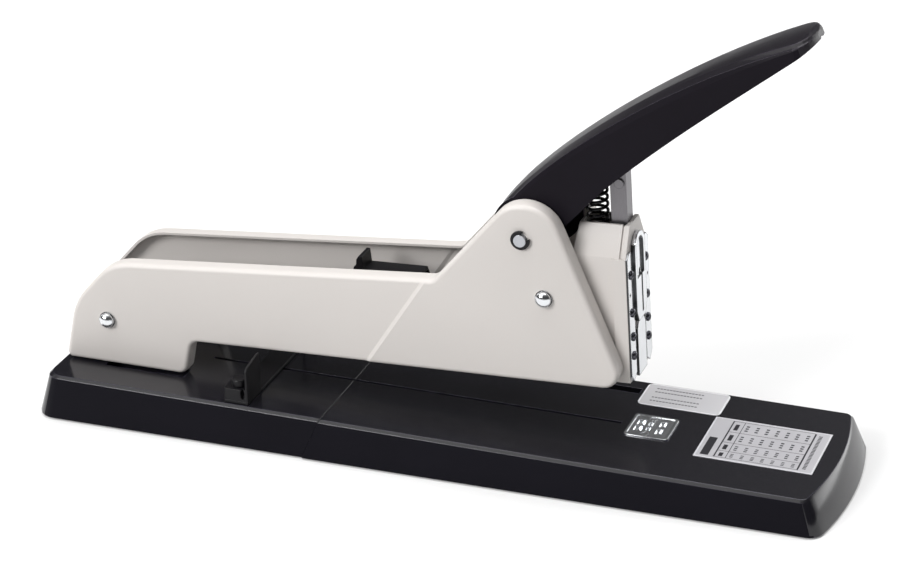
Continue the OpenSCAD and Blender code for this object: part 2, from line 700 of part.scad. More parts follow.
function lever_ring(s) =
  let (a = top_at(s), b = low_at(s), d = unit(b - a), l = norm(b - a), w = lever_half(s), t = lever_t,
       e = min(1.5, l / 5, w / 4), c = crown * min(1, w / 12),
       q = sin(min(180, 200 * s)) * w / grip_hw, f = e + 1.4 + 4.5 * q, low = min(e + 3.4 * q, l / 3),
       deep = s > cav_end ? 0.6 : l - t - 0.4,
       half_path = [[w, l], [w, low], [w - 0.3 * e - 0.6 * q, 0.3 * e], [w - e - 0.6 * q, 0],
         [w - f, -0.62 * c],
         [w * 0.45, -0.92 * c]],
       low_path = [[w - t, l], [w - t, l - deep + min(1.5, deep / 3)], [w - t - min(1.5, w / 4), l - deep]],
       loop = concat(
         half_path, [[0, -c]], [for (k = [5 : -1 : 0]) [-half_path[k][0], half_path[k][1]]],
         [for (q = low_path) [-q[0], q[1]]], [for (k = [2 : -1 : 0]) low_path[k]]))
  [for (q = loop) [a[0] + d[0] * q[1], q[0], a[1] + d[1] * q[1]]];

function lever_stations() = concat([for (k = [0 : 4]) low_share * k / 4],
  [for (k = [1 : 18]) low_share + (cav_end - low_share) * k / 18],
  [cav_end + 0.004, 0.945, 0.96, 0.973, 0.984, 0.992, 0.997, 1]);

// closes one end of the shell: the inner point that faces each outer point of a ring
FACING = [18, 17, 17, 16, 16, 16, 16, 15, 15, 15, 14, 14, 13];

function lever_cap(o) = [for (k = [12 : -1 : 1]) each let (a = FACING[k], b = FACING[k - 1])
  concat([[o + k - 1, o + k, o + a]], a == b ? [] : [[o + k - 1, o + a, o + b]])];

module lever_shell() {
  s = lever_stations();
  n = 19;
  m = len(s);
  polyhedron(
    points = [for (q = s) each lever_ring(q)],
    faces = concat([for (k = [0 : m - 2]) each [for (f = band(k, n)) [f[2], f[1], f[0]]]],
      lever_cap(0), [for (f = lever_cap((m - 1) * n)) [f[2], f[1], f[0]]]),
    convexity = 10);
}

module lever() color("#232127") on_arm() translate([shaft_x, 0, shaft_z]) difference() {
  union() {
    lever_shell();
    pair() across(lever_hw - lever_t + 0.3, lever_hw - 0.2) circle(r = 19.4);
    pair() rod_y(13, lever_hw - lever_t - 3, lever_hw - 0.4);
    // curved rib that presses on the top of the plunger
    across(-3.6, 3.6) intersection() {
      translate([23.3, 69.3]) circle(r = 34, $fn = 96);
      polygon([[28, 30], [58, 30], [58, 69.2], [28, 48.6]]);
    }
  }
  rod_y(shaft_d + 0.1, -30, 30);
}

module lever_shaft() color("#b5b7ba") on_arm() translate([shaft_x, 0, shaft_z]) {
  e = half + jog;
  difference() {
    rod_y(shaft_d, -e - 2.6, e + 2.6);
    pair() rotate([90, 0, 0]) translate([0, 0, e + 0.7]) difference() {
      cylinder(d = shaft_d + 1, h = 0.9);
      translate([0, 0, -1]) cylinder(d = shaft_d - 1.4, h = 3);
    }
  }
}

module shaft_clips() color("#3a3a3d") on_arm() translate([shaft_x, 0, shaft_z]) pair()
  rotate([90, 0, 0]) translate([0, 0, half + jog + 0.75]) linear_extrude(0.8) difference() {
    circle(d = shaft_d + 3.8);
    circle(d = shaft_d - 1.3);
    rotate(40) polygon([[0, -1.9], [9, -2.8], [9, 2.8], [0, 1.9]]);
  }

// torsion spring on the rear pivot that lifts the arm
module lift_spring() color("#5c5e62") at_station() translate([piv_x, 0, piv_z]) rotate([90, 0, 0])
  translate([0, 0, -13.1]) coil(5.2, 0.5, 3, 4.9, 6, 16);

base_front();
base_rear();
rubber_feet();
foot_screws();
hinge_bracket();
bracket_screws();
anvil_plate();
anvil_screws();
scale_label();
notice_label();
paper_guide();
guide_knob();
side_plate_near();
side_plate_far();
rear_pivot_bolt();
rear_spacers();
rear_dome_nuts();
front_bolt();
front_dome_nuts();
magazine_channel();
magazine_core();
core_rivets();
staple_follower();
follower_spring();
head_housing();
face_strip_near();
face_strip_far();
face_guide_bar();
face_screws();
plunger();
driver_blade();
blade_rivet();
return_spring();
lever();
lever_shaft();
shaft_clips();
lift_spring();
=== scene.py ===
"""Looks of a heavy-duty long-reach stapler, built round its fixed construction model."""

import json
import math

import bmesh
import bpy
from bpy.props import FloatProperty, FloatVectorProperty, IntProperty, PointerProperty
from mathutils import Matrix, Vector


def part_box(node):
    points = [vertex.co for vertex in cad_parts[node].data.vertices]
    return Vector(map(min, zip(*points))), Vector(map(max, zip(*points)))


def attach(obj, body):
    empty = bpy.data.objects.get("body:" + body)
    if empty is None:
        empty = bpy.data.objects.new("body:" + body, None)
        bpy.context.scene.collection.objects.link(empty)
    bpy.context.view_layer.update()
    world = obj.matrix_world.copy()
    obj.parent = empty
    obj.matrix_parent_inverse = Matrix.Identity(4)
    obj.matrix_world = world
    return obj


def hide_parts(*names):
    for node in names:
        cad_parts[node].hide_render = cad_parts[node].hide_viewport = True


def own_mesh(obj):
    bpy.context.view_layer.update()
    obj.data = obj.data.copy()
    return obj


bl_info = {
    "name": "Long-reach stapler",
    "version": (1, 0, 0),
    "blender": (4, 5, 0),
    "location": "3D View > Sidebar > Stapler",
    "description": "Finishes, small fasteners, springs and stage of a heavy-duty stapler",
    "category": "Object",
}

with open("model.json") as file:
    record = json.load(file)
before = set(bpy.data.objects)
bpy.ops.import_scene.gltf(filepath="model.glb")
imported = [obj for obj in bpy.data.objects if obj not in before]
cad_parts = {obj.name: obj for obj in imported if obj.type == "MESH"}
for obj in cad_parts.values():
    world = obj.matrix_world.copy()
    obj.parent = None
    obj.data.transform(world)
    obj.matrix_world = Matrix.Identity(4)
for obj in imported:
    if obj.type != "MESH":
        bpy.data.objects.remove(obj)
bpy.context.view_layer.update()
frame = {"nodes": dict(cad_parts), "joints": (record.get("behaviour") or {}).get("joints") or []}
MM = 0.001
FULL_TURN = 2 * math.pi

# ---- places taken from the construction ----------------------------------------------

JOINTS = {j["name"]: j for j in frame["joints"]}
PIVOT = Vector(JOINTS["arm_hinge"]["pos_m"])
ARM_X = Vector(JOINTS["follower_slide"]["axis"]).normalized()
ARM_Z = -Vector(JOINTS["driver_slide"]["axis"]).normalized()
ACROSS = Vector((0, 1, 0))
DECK_UP = Vector(JOINTS["knob_turn"]["axis"]).normalized()


def arm_matrix():
    """Frame of the arm: origin on the rear pivot, X along the magazine, Z square to it."""
    return Matrix.Translation(PIVOT) @ Matrix((ARM_X, ACROSS, ARM_Z)).transposed().to_4x4()


def points_on_arm(name):
    """Points of a construction node in the arm's frame."""
    to_arm = arm_matrix().inverted()
    return [to_arm @ v.co for v in frame["nodes"][name].data.vertices]


def base_joint():
    """Where the two base mouldings meet on the deck, along X."""
    skin = 1 * MM
    spots = [(v.co.dot(DECK_UP), v.co.x) for v in frame["nodes"]["base_front"].data.vertices]
    deck = max(spots)[0]
    return min(x for height, x in spots if height > deck - skin)


# ---- settings ------------------------------------------------------------------------


def srgb(*rgb):
    """Linear colour of a tone given as 0 to 255."""
    dark = 11
    return tuple(c / 255 / 12.92 if c < dark else ((c / 255 + 0.055) / 1.055) ** 2.4 for c in rgb)


def colour(name, description, rgb):
    """Setting for a colour."""
    return FloatVectorProperty(name=name, description=description, default=srgb(*rgb), size=3,
                               subtype="COLOR", min=0, max=1)


def length(name, description, size, least, most):
    """Setting for a length, given in millimetres."""
    return FloatProperty(name=name, description=description, default=size * MM, min=least * MM,
                         max=most * MM, subtype="DISTANCE", unit="LENGTH")


def angle(name, description, degrees):
    """Setting for an angle, given in degrees."""
    return FloatProperty(name=name, description=description, default=math.radians(degrees),
                         subtype="ANGLE", unit="ROTATION")


class STAPLER_PG_finish(bpy.types.PropertyGroup):
    """Colours of the stapler's finishes."""

    cream: colour("Paint", "Pale warm grey of the arm and the driving head", (213, 208, 204))
    shell: colour("Base", "Black of the base mouldings", (21, 20, 26))
    lever: colour("Lever", "Black of the lever", (26, 23, 29))
    plastic: colour("Small mouldings", "Black of the guide, knob and follower", (19, 18, 21))
    rubber: colour("Feet", "Rubber of the feet", (22, 22, 23))
    steel: colour("Sheet steel", "Tone of the magazine and blade", (168, 169, 172))
    zinc: colour("Zinc plate", "Tone of bolts and bracket", (176, 178, 182))
    plunger: colour("Plunger", "Grey steel of the plunger and its rivet", (118, 116, 119))
    # The screws' dark tone is a painted dark reflection, darker than their steel.
    screw: colour("Screws", "Darkened steel of the small screws", (84, 84, 90))
    chrome: colour("Chrome", "Tone of the face strips and dome nuts", (226, 228, 231))
    dark_steel: colour("Spring steel", "Blackened wire of the return spring", (24, 24, 26))
    foil: colour("Table label", "Silver ground of the label with the table", (188, 187, 191))
    paper: colour("Plain label", "Pale ground of the smaller label", (214, 213, 216))
    ink: colour("Table ink", "Dark print of the table", (44, 43, 48))
    faint_ink: colour("Plain ink", "Grey print on the smaller label", (104, 102, 108))


class STAPLER_PG_detail(bpy.types.PropertyGroup):
    """Sizes of the small pieces that the construction leaves plain."""

    wire: length("Return spring wire", "Diameter of the wire of the return spring", 1.7, 1, 2)
    coils: FloatProperty(name="Return spring coils", description="Turns of the return spring",
                         default=16.5, min=6, max=20)
    screw: length("Face screws", "Diameter of the heads of the face screws", 4.8, 3, 4.8)
    screw_rise: length("Screw rise", "Height of those heads", 1.5, 1, 1.5)
    recess: length("Screw recess", "Depth of the cross in each screw head", 0.7, 0.2, 1)
    columns: IntProperty(name="Table columns", description="Columns ruled on the scale label",
                         default=7, min=2, max=12)
    rows: IntProperty(name="Foot dashes", default=5, min=2, max=9,
                      description="Groups of five dashes at the foot of the table")


class STAPLER_PG_stage(bpy.types.PropertyGroup):
    """Camera, lamps and room light."""

    azimuth: angle("Azimuth", "Camera's turn round the stapler", 22.05)
    elevation: angle("Elevation", "Camera's height above the horizon", 25.21)
    roll: angle("Roll", "Camera's tilt about its own axis", -2.24)
    distance: FloatProperty(name="Distance", default=1.4532, min=0.5, subtype="DISTANCE",
                            description="From the camera to the point it looks at", unit="LENGTH")
    look_at: FloatVectorProperty(name="Look at", description="Point that the camera looks at",
                                 default=(5.45 * MM, 0, 88.68 * MM), size=3,
                                 subtype="TRANSLATION", unit="LENGTH")
    lens: FloatProperty(name="Lens", description="Focal length on a 36 mm wide sensor",
                        default=109.63, min=20, max=300, unit="CAMERA")
    key: FloatProperty(name="Overhead light", default=2.0, min=0,
                       description="Strength of the broad light overhead")
    fill: FloatProperty(name="Front light", default=1.95, min=0,
                        description="Strength of the soft light at the front")
    sky: FloatProperty(name="Room light", default=0.09, min=0, max=2,
                       description="Strength of the light from the room")


# ---- nodes ---------------------------------------------------------------------------


def add(tree, kind, **values):
    """Adds a node and sets its properties, or its sockets where a name starts with in_."""
    n = tree.nodes.new(kind)
    for name, value in values.items():
        if name.startswith("in_"):
            n.inputs[name[3:].replace("_", " ")].default_value = value
        else:
            setattr(n, name, value)
    return n


def feed(tree, value, socket):
    """Links value to the socket where it is a socket too, and else sets it there."""
    if isinstance(value, bpy.types.NodeSocket):
        tree.links.new(value, socket)
    else:
        socket.default_value = value


def calc(tree, operation, *values):
    """Result of a Math node on sockets or numbers."""
    n = add(tree, "ShaderNodeMath", operation=operation)
    for value, socket in zip(values, n.inputs):
        feed(tree, value, socket)
    return n.outputs[0]


def dot(tree, a, b):
    """Dot product of two vectors, each a socket or given."""
    n = add(tree, "ShaderNodeVectorMath", operation="DOT_PRODUCT")
    feed(tree, a, n.inputs[0])
    feed(tree, b, n.inputs[1])
    return n.outputs["Value"]


def spread(tree, value, low, high, at=(0.3, 0.7), **settings):
    """Maps value onto low to high, from the range at."""
    n = add(tree, "ShaderNodeMapRange", **settings)
    for k, number in enumerate((value, *at, low, high)):
        feed(tree, number, n.inputs[k])
    return n.outputs[0]


def axis(tree, vector, letter):
    """One axis of a vector."""
    n = add(tree, "ShaderNodeSeparateXYZ")
    feed(tree, vector, n.inputs[0])
    return n.outputs[letter]


def object_place(tree):
    """Place on the object, in its own frame."""
    return add(tree, "ShaderNodeTexCoord").outputs["Object"]


def noise(tree, place, scale, **values):
    """Noise round 0.5 at that many patches to the metre."""
    n = add(tree, "ShaderNodeTexNoise", **values)
    feed(tree, place, n.inputs["Vector"])
    feed(tree, scale, n.inputs["Scale"])
    return n.outputs["Fac"]


def mix_colour(tree, factor, a, b):
    """Colour between a and b, each a socket or a tone."""
    n = add(tree, "ShaderNodeMix", data_type="RGBA")
    feed(tree, factor, n.inputs[0])
    for k, value in ((6, a), (7, b)):
        feed(tree, value if isinstance(value, bpy.types.NodeSocket) else (*value, 1), n.inputs[k])
    return n.outputs[2]


def new_group(name, kind, inputs, outputs):
    """Empty node group of that kind with its sockets; returns it with its two end nodes."""
    g = bpy.data.node_groups.new(name, kind + "NodeTree")
    for label, sort, default in inputs:
        s = g.interface.new_socket(name=label, in_out="INPUT", socket_type="NodeSocket" + sort)
        if default is not None:
            s.default_value = default
    for label, sort in outputs:
        g.interface.new_socket(name=label, in_out="OUTPUT", socket_type="NodeSocket" + sort)
    return g, add(g, "NodeGroupInput"), add(g, "NodeGroupOutput")


def grain_group():
    """Fine grain with slow blotches: Fine and Blotch are values round 0.5."""
    g, i, o = new_group("surface_grain", "Shader",
                        [("Size", "Float", 1 * MM), ("Blotch Size", "Float", 30 * MM),
                         ("Stretch", "Vector", (1, 1, 1))],
                        [("Fine", "Float"), ("Blotch", "Float")])
    stretched = add(g, "ShaderNodeVectorMath", operation="MULTIPLY")
    feed(g, object_place(g), stretched.inputs[0])
    feed(g, i.outputs["Stretch"], stretched.inputs[1])
    for size, out, detail in (("Size", "Fine", 3), ("Blotch Size", "Blotch", 4)):
        rate = calc(g, "DIVIDE", 1.0, i.outputs[size])
        feed(g, noise(g, stretched.outputs[0], rate, in_Detail=detail, in_Roughness=0.55),
             o.inputs[out])
    return g


def edge_group():
    """Rounded normal at sharp edges, and a mask of where those edges are."""
    bend = (0.995, 0.8)      # likeness of rounded and flat normal where the mask begins and is full
    patches = (0.4, 0.62)    # noise at which the edge tone, wear and painted edge light alike, begins and is full
    g, i, o = new_group("soft_edges", "Shader",
                        [("Break Up", "Float", 0.5), ("Radius", "Float", 0.5 * MM)],
                        [("Edge", "Float"), ("Normal", "Vector")])
    bevel = add(g, "ShaderNodeBevel", samples=6)
    feed(g, i.outputs["Radius"], bevel.inputs["Radius"])
    flat = add(g, "ShaderNodeNewGeometry")
    mask = spread(g, dot(g, bevel.outputs[0], flat.outputs["Normal"]), 0.0, 1.0, bend)
    wear_and_light_mask = spread(g, noise(g, object_place(g), 180, in_Detail=4), 0.0, 1.0, patches)
    part = add(g, "ShaderNodeMix", data_type="FLOAT")
    for k, value in ((0, i.outputs["Break Up"]), (2, 1.0), (3, wear_and_light_mask)):
        feed(g, value, part.inputs[k])
    feed(g, calc(g, "MULTIPLY", mask, part.outputs[0]), o.inputs["Edge"])
    feed(g, bevel.outputs[0], o.inputs["Normal"])
    return g


def dust_group():
    """Mask of fine dust that has settled on surfaces facing up."""
    level = (0.5, 1.0)       # upward share of the normal where dust begins to lie and lies best
    specks = (0.55, 0.8)     # noise at which a speck begins and is full
    g, i, o = new_group("settled_dust", "Shader", [("Amount", "Float", 0.3)], [("Dust", "Float")])
    normal = add(g, "ShaderNodeNewGeometry").outputs["Normal"]
    up = spread(g, axis(g, normal, "Z"), 0.0, 1.0, level)
    few = noise(g, object_place(g), 900, in_Detail=5, in_Roughness=0.8)
    lying = calc(g, "MULTIPLY", up, spread(g, few, 0.0, 1.0, specks))
    feed(g, calc(g, "MULTIPLY", lying, i.outputs["Amount"]), o.inputs["Dust"])
    return g


def use_group(tree, name, build, **values):
    """Places the shared group of that name, made once, with its own values."""
    n = tree.nodes.new("ShaderNodeGroup")
    n.node_tree = bpy.data.node_groups.get(name) or build()
    for key, value in values.items():
        n.inputs[key.replace("_", " ")].default_value = value
    return n


def within(tree, value, low, high):
    """Mask that is 1 where value lies from low to high."""
    return calc(tree, "COMPARE", value, (low + high) / 2, (high - low) / 2)


# ---- finishes --------------------------------------------------------------------------

DUST = srgb(190, 186, 178)


def tone(c, share):
    """Colour c made that many times as light."""
    return tuple(min(1, x * share) for x in c)


def surface(name, base, rough, grain, blotch=40, stretch=(1, 1, 1), depth=0.02, metal=0.0,
            edge_wear_and_light=(1.3, 0.0), dust=0.0, variety=0.06, specular=0.5, round_edge=0.5, break_up=0.8,
            joint_x=None):
    """Finish with grain, slow changes of tone and gloss, softened edges with wear and painted edge
    light, and dust.

    grain, blotch, depth and round_edge are in millimetres. The edge tone is given as a share of
    base, with its amount. It gives lighter worn edges on most finishes, painted highlight lines on
    the base's and the lever's black, painted dark outlines on the bright chrome, and darker edges
    on the anvil, plunger, screws and strip sides. No edge tone shows along the joint at joint_x.
    """
    blotch_share, bump_strength, joint_width = 0.7, 0.5, 2 * MM
    m = bpy.data.materials.new(name + "_finish")
    m.use_nodes = True
    t = m.node_tree
    t.nodes.clear()
    s = add(t, "ShaderNodeBsdfPrincipled")
    feed(t, s.outputs[0], add(t, "ShaderNodeOutputMaterial").inputs[0])
    s.inputs["Metallic"].default_value = metal
    s.inputs["Specular IOR Level"].default_value = specular
    g = use_group(t, "surface_grain", grain_group, Size=grain * MM, Blotch_Size=blotch * MM,
                  Stretch=stretch)
    e = use_group(t, "soft_edges", edge_group, Break_Up=break_up, Radius=round_edge * MM)
    varied = calc(t, "ADD", spread(t, g.outputs["Blotch"], 0, blotch_share),
                  spread(t, g.outputs["Fine"], 0, 1 - blotch_share))
    c = mix_colour(t, varied, tone(base, 1 - variety), tone(base, 1 + variety))
    # Mask of the edge tone: worn edges, and the painted highlights and painted dark outlines that
    # some finishes ask for.
    wear_and_light_mask = calc(t, "MULTIPLY", e.outputs["Edge"], edge_wear_and_light[1])
    if joint_x is not None:
        x = axis(t, object_place(t), "X")
        near = within(t, x, joint_x - joint_width, joint_x + joint_width)
        wear_and_light_mask = calc(t, "MULTIPLY", wear_and_light_mask, calc(t, "SUBTRACT", 1.0, near))
    c = mix_colour(t, wear_and_light_mask, c, tone(base, edge_wear_and_light[0]))
    d = use_group(t, "settled_dust", dust_group, Amount=dust)
    feed(t, mix_colour(t, d.outputs["Dust"], c, DUST), s.inputs["Base Color"])
    feed(t, spread(t, varied, rough[0], rough[1], at=(0.1, 0.9)), s.inputs["Roughness"])
    relief = add(t, "ShaderNodeBump", in_Strength=bump_strength, in_Distance=depth * MM)
    feed(t, g.outputs["Fine"], relief.inputs["Height"])
    feed(t, e.outputs["Normal"], relief.inputs["Normal"])
    feed(t, relief.outputs[0], s.inputs["Normal"])
    return m


def cream_paint(f):
    """Warm grey coat of the side plates and the head."""
    return surface("cream_paint", f.cream, (0.36, 0.48), 1.1, blotch=55, depth=0.018,
                   edge_wear_and_light=(1.12, 0.35), variety=0.018)


def base_black(f):
    """Glossy black of the deck and the base's ends, with painted highlight lines along its edges.
    """
    return surface("base_black", f.shell, (0.14, 0.22), 0.7, blotch=60, depth=0.006,
                   # The edge tone, 18 times the base's black, is a painted highlight along the
                   # edges of the deck and ends.
                   edge_wear_and_light=(18, 0.9), variety=0.12, dust=0.08, round_edge=0.8, break_up=0.35,
                   joint_x=base_joint())


def base_side_shaded(f):
    """Duller black of the base's two long sides: a shaded copy of the base's black that reflects
    almost nothing, so that the sides stay dark.
    """
    return surface("base_side_shaded", f.shell, (0.3, 0.42), 0.7, blotch=60, depth=0.008,
                   edge_wear_and_light=(3, 0.4), variety=0.12, specular=0.05)


def lever_black(f):
    """Grained black of the lever's crown and underside, with painted highlight lines along its
    crease and edges.
    """
    return surface("lever_black", f.lever, (0.32, 0.44), 0.8, blotch=45, depth=0.03,
                   # The edge tone, 12 times the lever's black, is a painted highlight along the
                   # crease and edges.
                   edge_wear_and_light=(12, 0.9), variety=0.2, specular=0.4, round_edge=0.8, break_up=0.3)


def lever_side_shaded(f):
    """Smoother black of the lever's two sides: a shaded copy of the lever's black that reflects
    almost nothing, so that the sides stay dark.
    """
    return surface("lever_side_shaded", f.lever, (0.3, 0.4), 0.5, blotch=45, depth=0.006,
                   edge_wear_and_light=(2.4, 0.35), variety=0.12, specular=0.06)


def plunger_steel(f):
    """Brushed grey steel of the plunger."""
    return surface("plunger_steel", f.plunger, (0.3, 0.44), 0.5, blotch=7, stretch=(1, 1, 0.2),
                   metal=1, depth=0.014, edge_wear_and_light=(0.4, 0.7), variety=0.16)


def black_plastic(f):
    """Satin black of the small mouldings."""
    return surface("black_plastic", f.plastic, (0.3, 0.42), 0.45, edge_wear_and_light=(3, 0.4), variety=0.15,
                   specular=0.2)


def foot_rubber(f):
    """Dull, dusty rubber."""
    return surface("foot_rubber", f.rubber, (0.7, 0.85), 0.6, depth=0.05, variety=0.2, dust=0.3)


def zinc_steel(f):
    """Zinc-plated steel of bolts, screws and springs."""
    return surface("zinc_steel", f.zinc, (0.26, 0.42), 0.5, blotch=12, stretch=(0.25, 1, 1),
                   metal=1, depth=0.012, edge_wear_and_light=(1.4, 0.4), variety=0.14)


def sheet_steel(f):
    """Rolled sheet of the magazine, streaked along its length."""
    return surface("sheet_steel", f.steel, (0.24, 0.38), 0.4, blotch=20, stretch=(0.06, 1, 1),
                   metal=1, depth=0.012, edge_wear_and_light=(1.4, 0.5), variety=0.12)


def bright_chrome(f):
    """Mirror chrome with painted dark outlines along all its edges."""
    return surface("bright_chrome", f.chrome, (0.07, 0.2), 0.5, blotch=9, metal=1, depth=0.004,
                   # The edge tone, near black on every edge, is painted shade that outlines the
                   # chrome.
                   edge_wear_and_light=(0.06, 1.0), variety=0.05, round_edge=1.3, break_up=0.0)


def chrome_side_shaded(f):
    """Darker, streaky sides of the chromed strips, near black: painted shade that gives the strips
    dark outlines.
    """
    # A tenth of the chrome's tone: painted shade on the strips' sides.
    return surface("chrome_side_shaded", tone(f.chrome, 0.1), (0.3, 0.5), 0.5, blotch=6,
                   stretch=(4, 4, 0.5), metal=1, depth=0.01, edge_wear_and_light=(0.3, 0.8), variety=0.3)


def anvil_chrome(f):
    """Ground and chromed anvil, streaked across."""
    return surface("anvil_chrome", f.chrome, (0.12, 0.3), 0.3, blotch=6, stretch=(1, 0.08, 1),
                   metal=1, depth=0.01, edge_wear_and_light=(0.15, 0.6), variety=0.1)


def screw_steel(f):
    """Dark steel of the face screws, whose dark tone is a painted dark reflection."""
    return surface("screw_steel", f.screw, (0.14, 0.28), 0.3, blotch=4, metal=1, depth=0.006,
                   edge_wear_and_light=(0.3, 0.6), variety=0.2)


def dark_steel(f):
    """Blackened spring wire."""
    return surface("dark_steel", f.dark_steel, (0.2, 0.34), 0.4, metal=0.6, depth=0.01,
                   edge_wear_and_light=(4, 0.5), variety=0.2)


# ---- labels ----------------------------------------------------------------------------
# Places on a label are shares of its length (u) and of its width (v).

RIM = 0.9 * MM                               # plain border of a label
TABLE_HEAD, TABLE_FIRST, TABLE_LAST = 0.16, 0.26, 0.86
TABLE_ROWS = (0.05, 0.21, 0.42, 0.68, 0.95)
HEAD_BAR = ((0.045, 0.115), (0.06, 0.5))     # plain bar where a heading would be
CELL_DASH, CELL_LINES, CELL_LINE = (0.34, 0.66), 3, (0.2, 0.72)
FOOT_LINE, FOOT_REACH, FOOT_DASH = (0.9, 0.93), (0.08, 0.92), (0.2, 0.75)
PLAIN_LINES, PLAIN_REACH = (0.2, 0.36, 0.62, 0.78), (0.12, 0.7)
PLAIN_DASHES, PLAIN_DASH = 15, (0.12, 0.86)


def joined(tree, masks):
    """Mask of where any of the masks is 1."""
    total = masks[0]
    for m in masks[1:]:
        total = calc(tree, "MAXIMUM", total, m)
    return total


def block(tree, u, v, along, across):
    """Mask of one rectangle."""
    return calc(tree, "MULTIPLY", within(tree, u, *along), within(tree, v, *across))


def share(tree, value, low, high, count=1.0):
    """Value as a share of the way from low to high, times count."""
    return spread(tree, value, 0.0, count, at=(low, high), clamp=False)


def repeated(tree, value, low, high, count, start, end):
    """Mask of a stripe, from share start to end, in each of count steps from low to high."""
    step = calc(tree, "FRACT", share(tree, value, low, high, count))
    return calc(tree, "MULTIPLY", within(tree, step, start, end), within(tree, value, low, high))


def printed(name, node, ground, ink, marks):
    """Label for that node whose print is the mask marks(t, u, v), with a paler rim."""
    m = surface(name, ground, (0.3, 0.42), 0.4, blotch=15, metal=0.1, depth=0.004, variety=0.03)
    t = m.node_tree
    base = t.nodes["Principled BSDF"].inputs["Base Color"]
    place = object_place(t)
    lo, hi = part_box(node)
    u = share(t, axis(t, place, "X"), lo.x, hi.x)
    v = share(t, axis(t, place, "Y"), lo.y, hi.y)
    along, across = (RIM / (hi - lo)[k] for k in (0, 1))
    inside = block(t, u, v, (along, 1 - along), (across, 1 - across))
    c = mix_colour(t, inside, tone(ground, 1.4), base.links[0].from_socket)
    feed(t, mix_colour(t, marks(t, u, v), c, ink), base)
    return m


def table_marks(t, u, v):
    """Ruled table with a bare head strip: its frame, its lines and plain dashes in each cell."""
    d = bpy.context.scene.stapler_detail
    thick, middling, thin, hair = 0.014, 0.012, 0.006, 0.008
    masks = [block(t, u, v, (x, x + width), (TABLE_ROWS[0], TABLE_ROWS[-1]))
             for x, width in ((TABLE_HEAD, middling), (TABLE_FIRST, thin), (TABLE_LAST, thick))]
    for z in TABLE_ROWS:
        masks.append(block(t, u, v, (TABLE_HEAD, TABLE_LAST), (z, z + hair)))
    cells = repeated(t, u, TABLE_FIRST, TABLE_LAST, d.columns, *CELL_DASH)
    names = (TABLE_HEAD + 0.035, TABLE_FIRST - 0.03)
    for low, high in zip(TABLE_ROWS, TABLE_ROWS[1:]):
        margin = 0.2 * (high - low)
        dashes = repeated(t, v, low + margin, high - margin, CELL_LINES, *CELL_LINE)
        masks.append(calc(t, "MULTIPLY", cells, dashes))
        masks.append(block(t, u, v, names, (low + margin, high - 1.25 * margin)))
    foot = repeated(t, v, *FOOT_REACH, d.rows * 5, *FOOT_DASH)
    masks.append(calc(t, "MULTIPLY", within(t, u, *FOOT_LINE), foot))
    masks.append(block(t, u, v, *HEAD_BAR))
    return joined(t, masks)


def plain_marks(t, u, v):
    """Four plain dashed lines."""
    height = 0.045
    dashes = repeated(t, u, *PLAIN_REACH, PLAIN_DASHES, *PLAIN_DASH)
    return joined(t, [calc(t, "MULTIPLY", dashes, within(t, v, z, z + height))
                      for z in PLAIN_LINES])


def table_label(f):
    """Silver label with the plain table."""
    return printed("table_label", "scale_label", f.foil, f.ink, table_marks)


def plain_label(f):
    """Pale label with the four plain lines."""
    return printed("plain_label", "notice_label", f.paper, f.faint_ink, plain_marks)


# ---- meshes ----------------------------------------------------------------------------

SMOOTH = 35                                  # degrees up to which an edge is shaded smooth


def smoothing_group():
    """Geometry group that joins loose corners and keeps only edges steeper than Angle sharp."""
    near = 0.002 * MM
    g, i, o = new_group("smooth_faces", "Geometry",
                        [("Geometry", "Geometry", None), ("Angle", "Float", math.radians(SMOOTH))],
                        [("Geometry", "Geometry")])
    steps = [add(g, "GeometryNodeMergeByDistance", in_Distance=near),
             add(g, "GeometryNodeRemoveAttribute", in_Name="custom_normal"),
             add(g, "GeometryNodeSetShadeSmooth", domain="FACE", in_Shade_Smooth=True),
             add(g, "GeometryNodeSetShadeSmooth", domain="EDGE", in_Shade_Smooth=False)]
    steep = add(g, "FunctionNodeCompare", data_type="FLOAT", operation="GREATER_THAN")
    bend = add(g, "GeometryNodeInputMeshEdgeAngle").outputs["Unsigned Angle"]
    feed(g, bend, steep.inputs[0])
    feed(g, i.outputs["Angle"], steep.inputs[1])
    feed(g, steep.outputs[0], steps[-1].inputs["Selection"])
    mesh = i.outputs["Geometry"]
    for step in steps:
        feed(g, mesh, step.inputs["Geometry"])
        mesh = step.outputs[0]
    feed(g, mesh, o.inputs["Geometry"])
    return g


def smooth(obj, degrees):
    """Shades obj smooth but for the edges that bend more than that."""
    group = bpy.data.node_groups.get("smooth_faces") or smoothing_group()
    m = obj.modifiers.new("smooth_faces", "NODES")
    m.node_group = group
    socket = next(s for s in group.interface.items_tree if s.name == "Angle")
    m[socket.identifier] = math.radians(degrees)


def finish_of(build):
    """The finish that build makes, made once."""
    made = bpy.data.materials.get(build.__name__ + "_finish")
    return made or build(bpy.context.scene.stapler_finish)


def finish_nodes(build, slot, *names, degrees=SMOOTH):
    """Gives construction nodes a finish and smooth shading, and returns them."""
    nodes = [frame["nodes"][name] for name in names]
    for o in nodes:
        o.data.materials.clear()
        o.data.materials.append(finish_of(build))
        smooth(o, degrees)
    return nodes


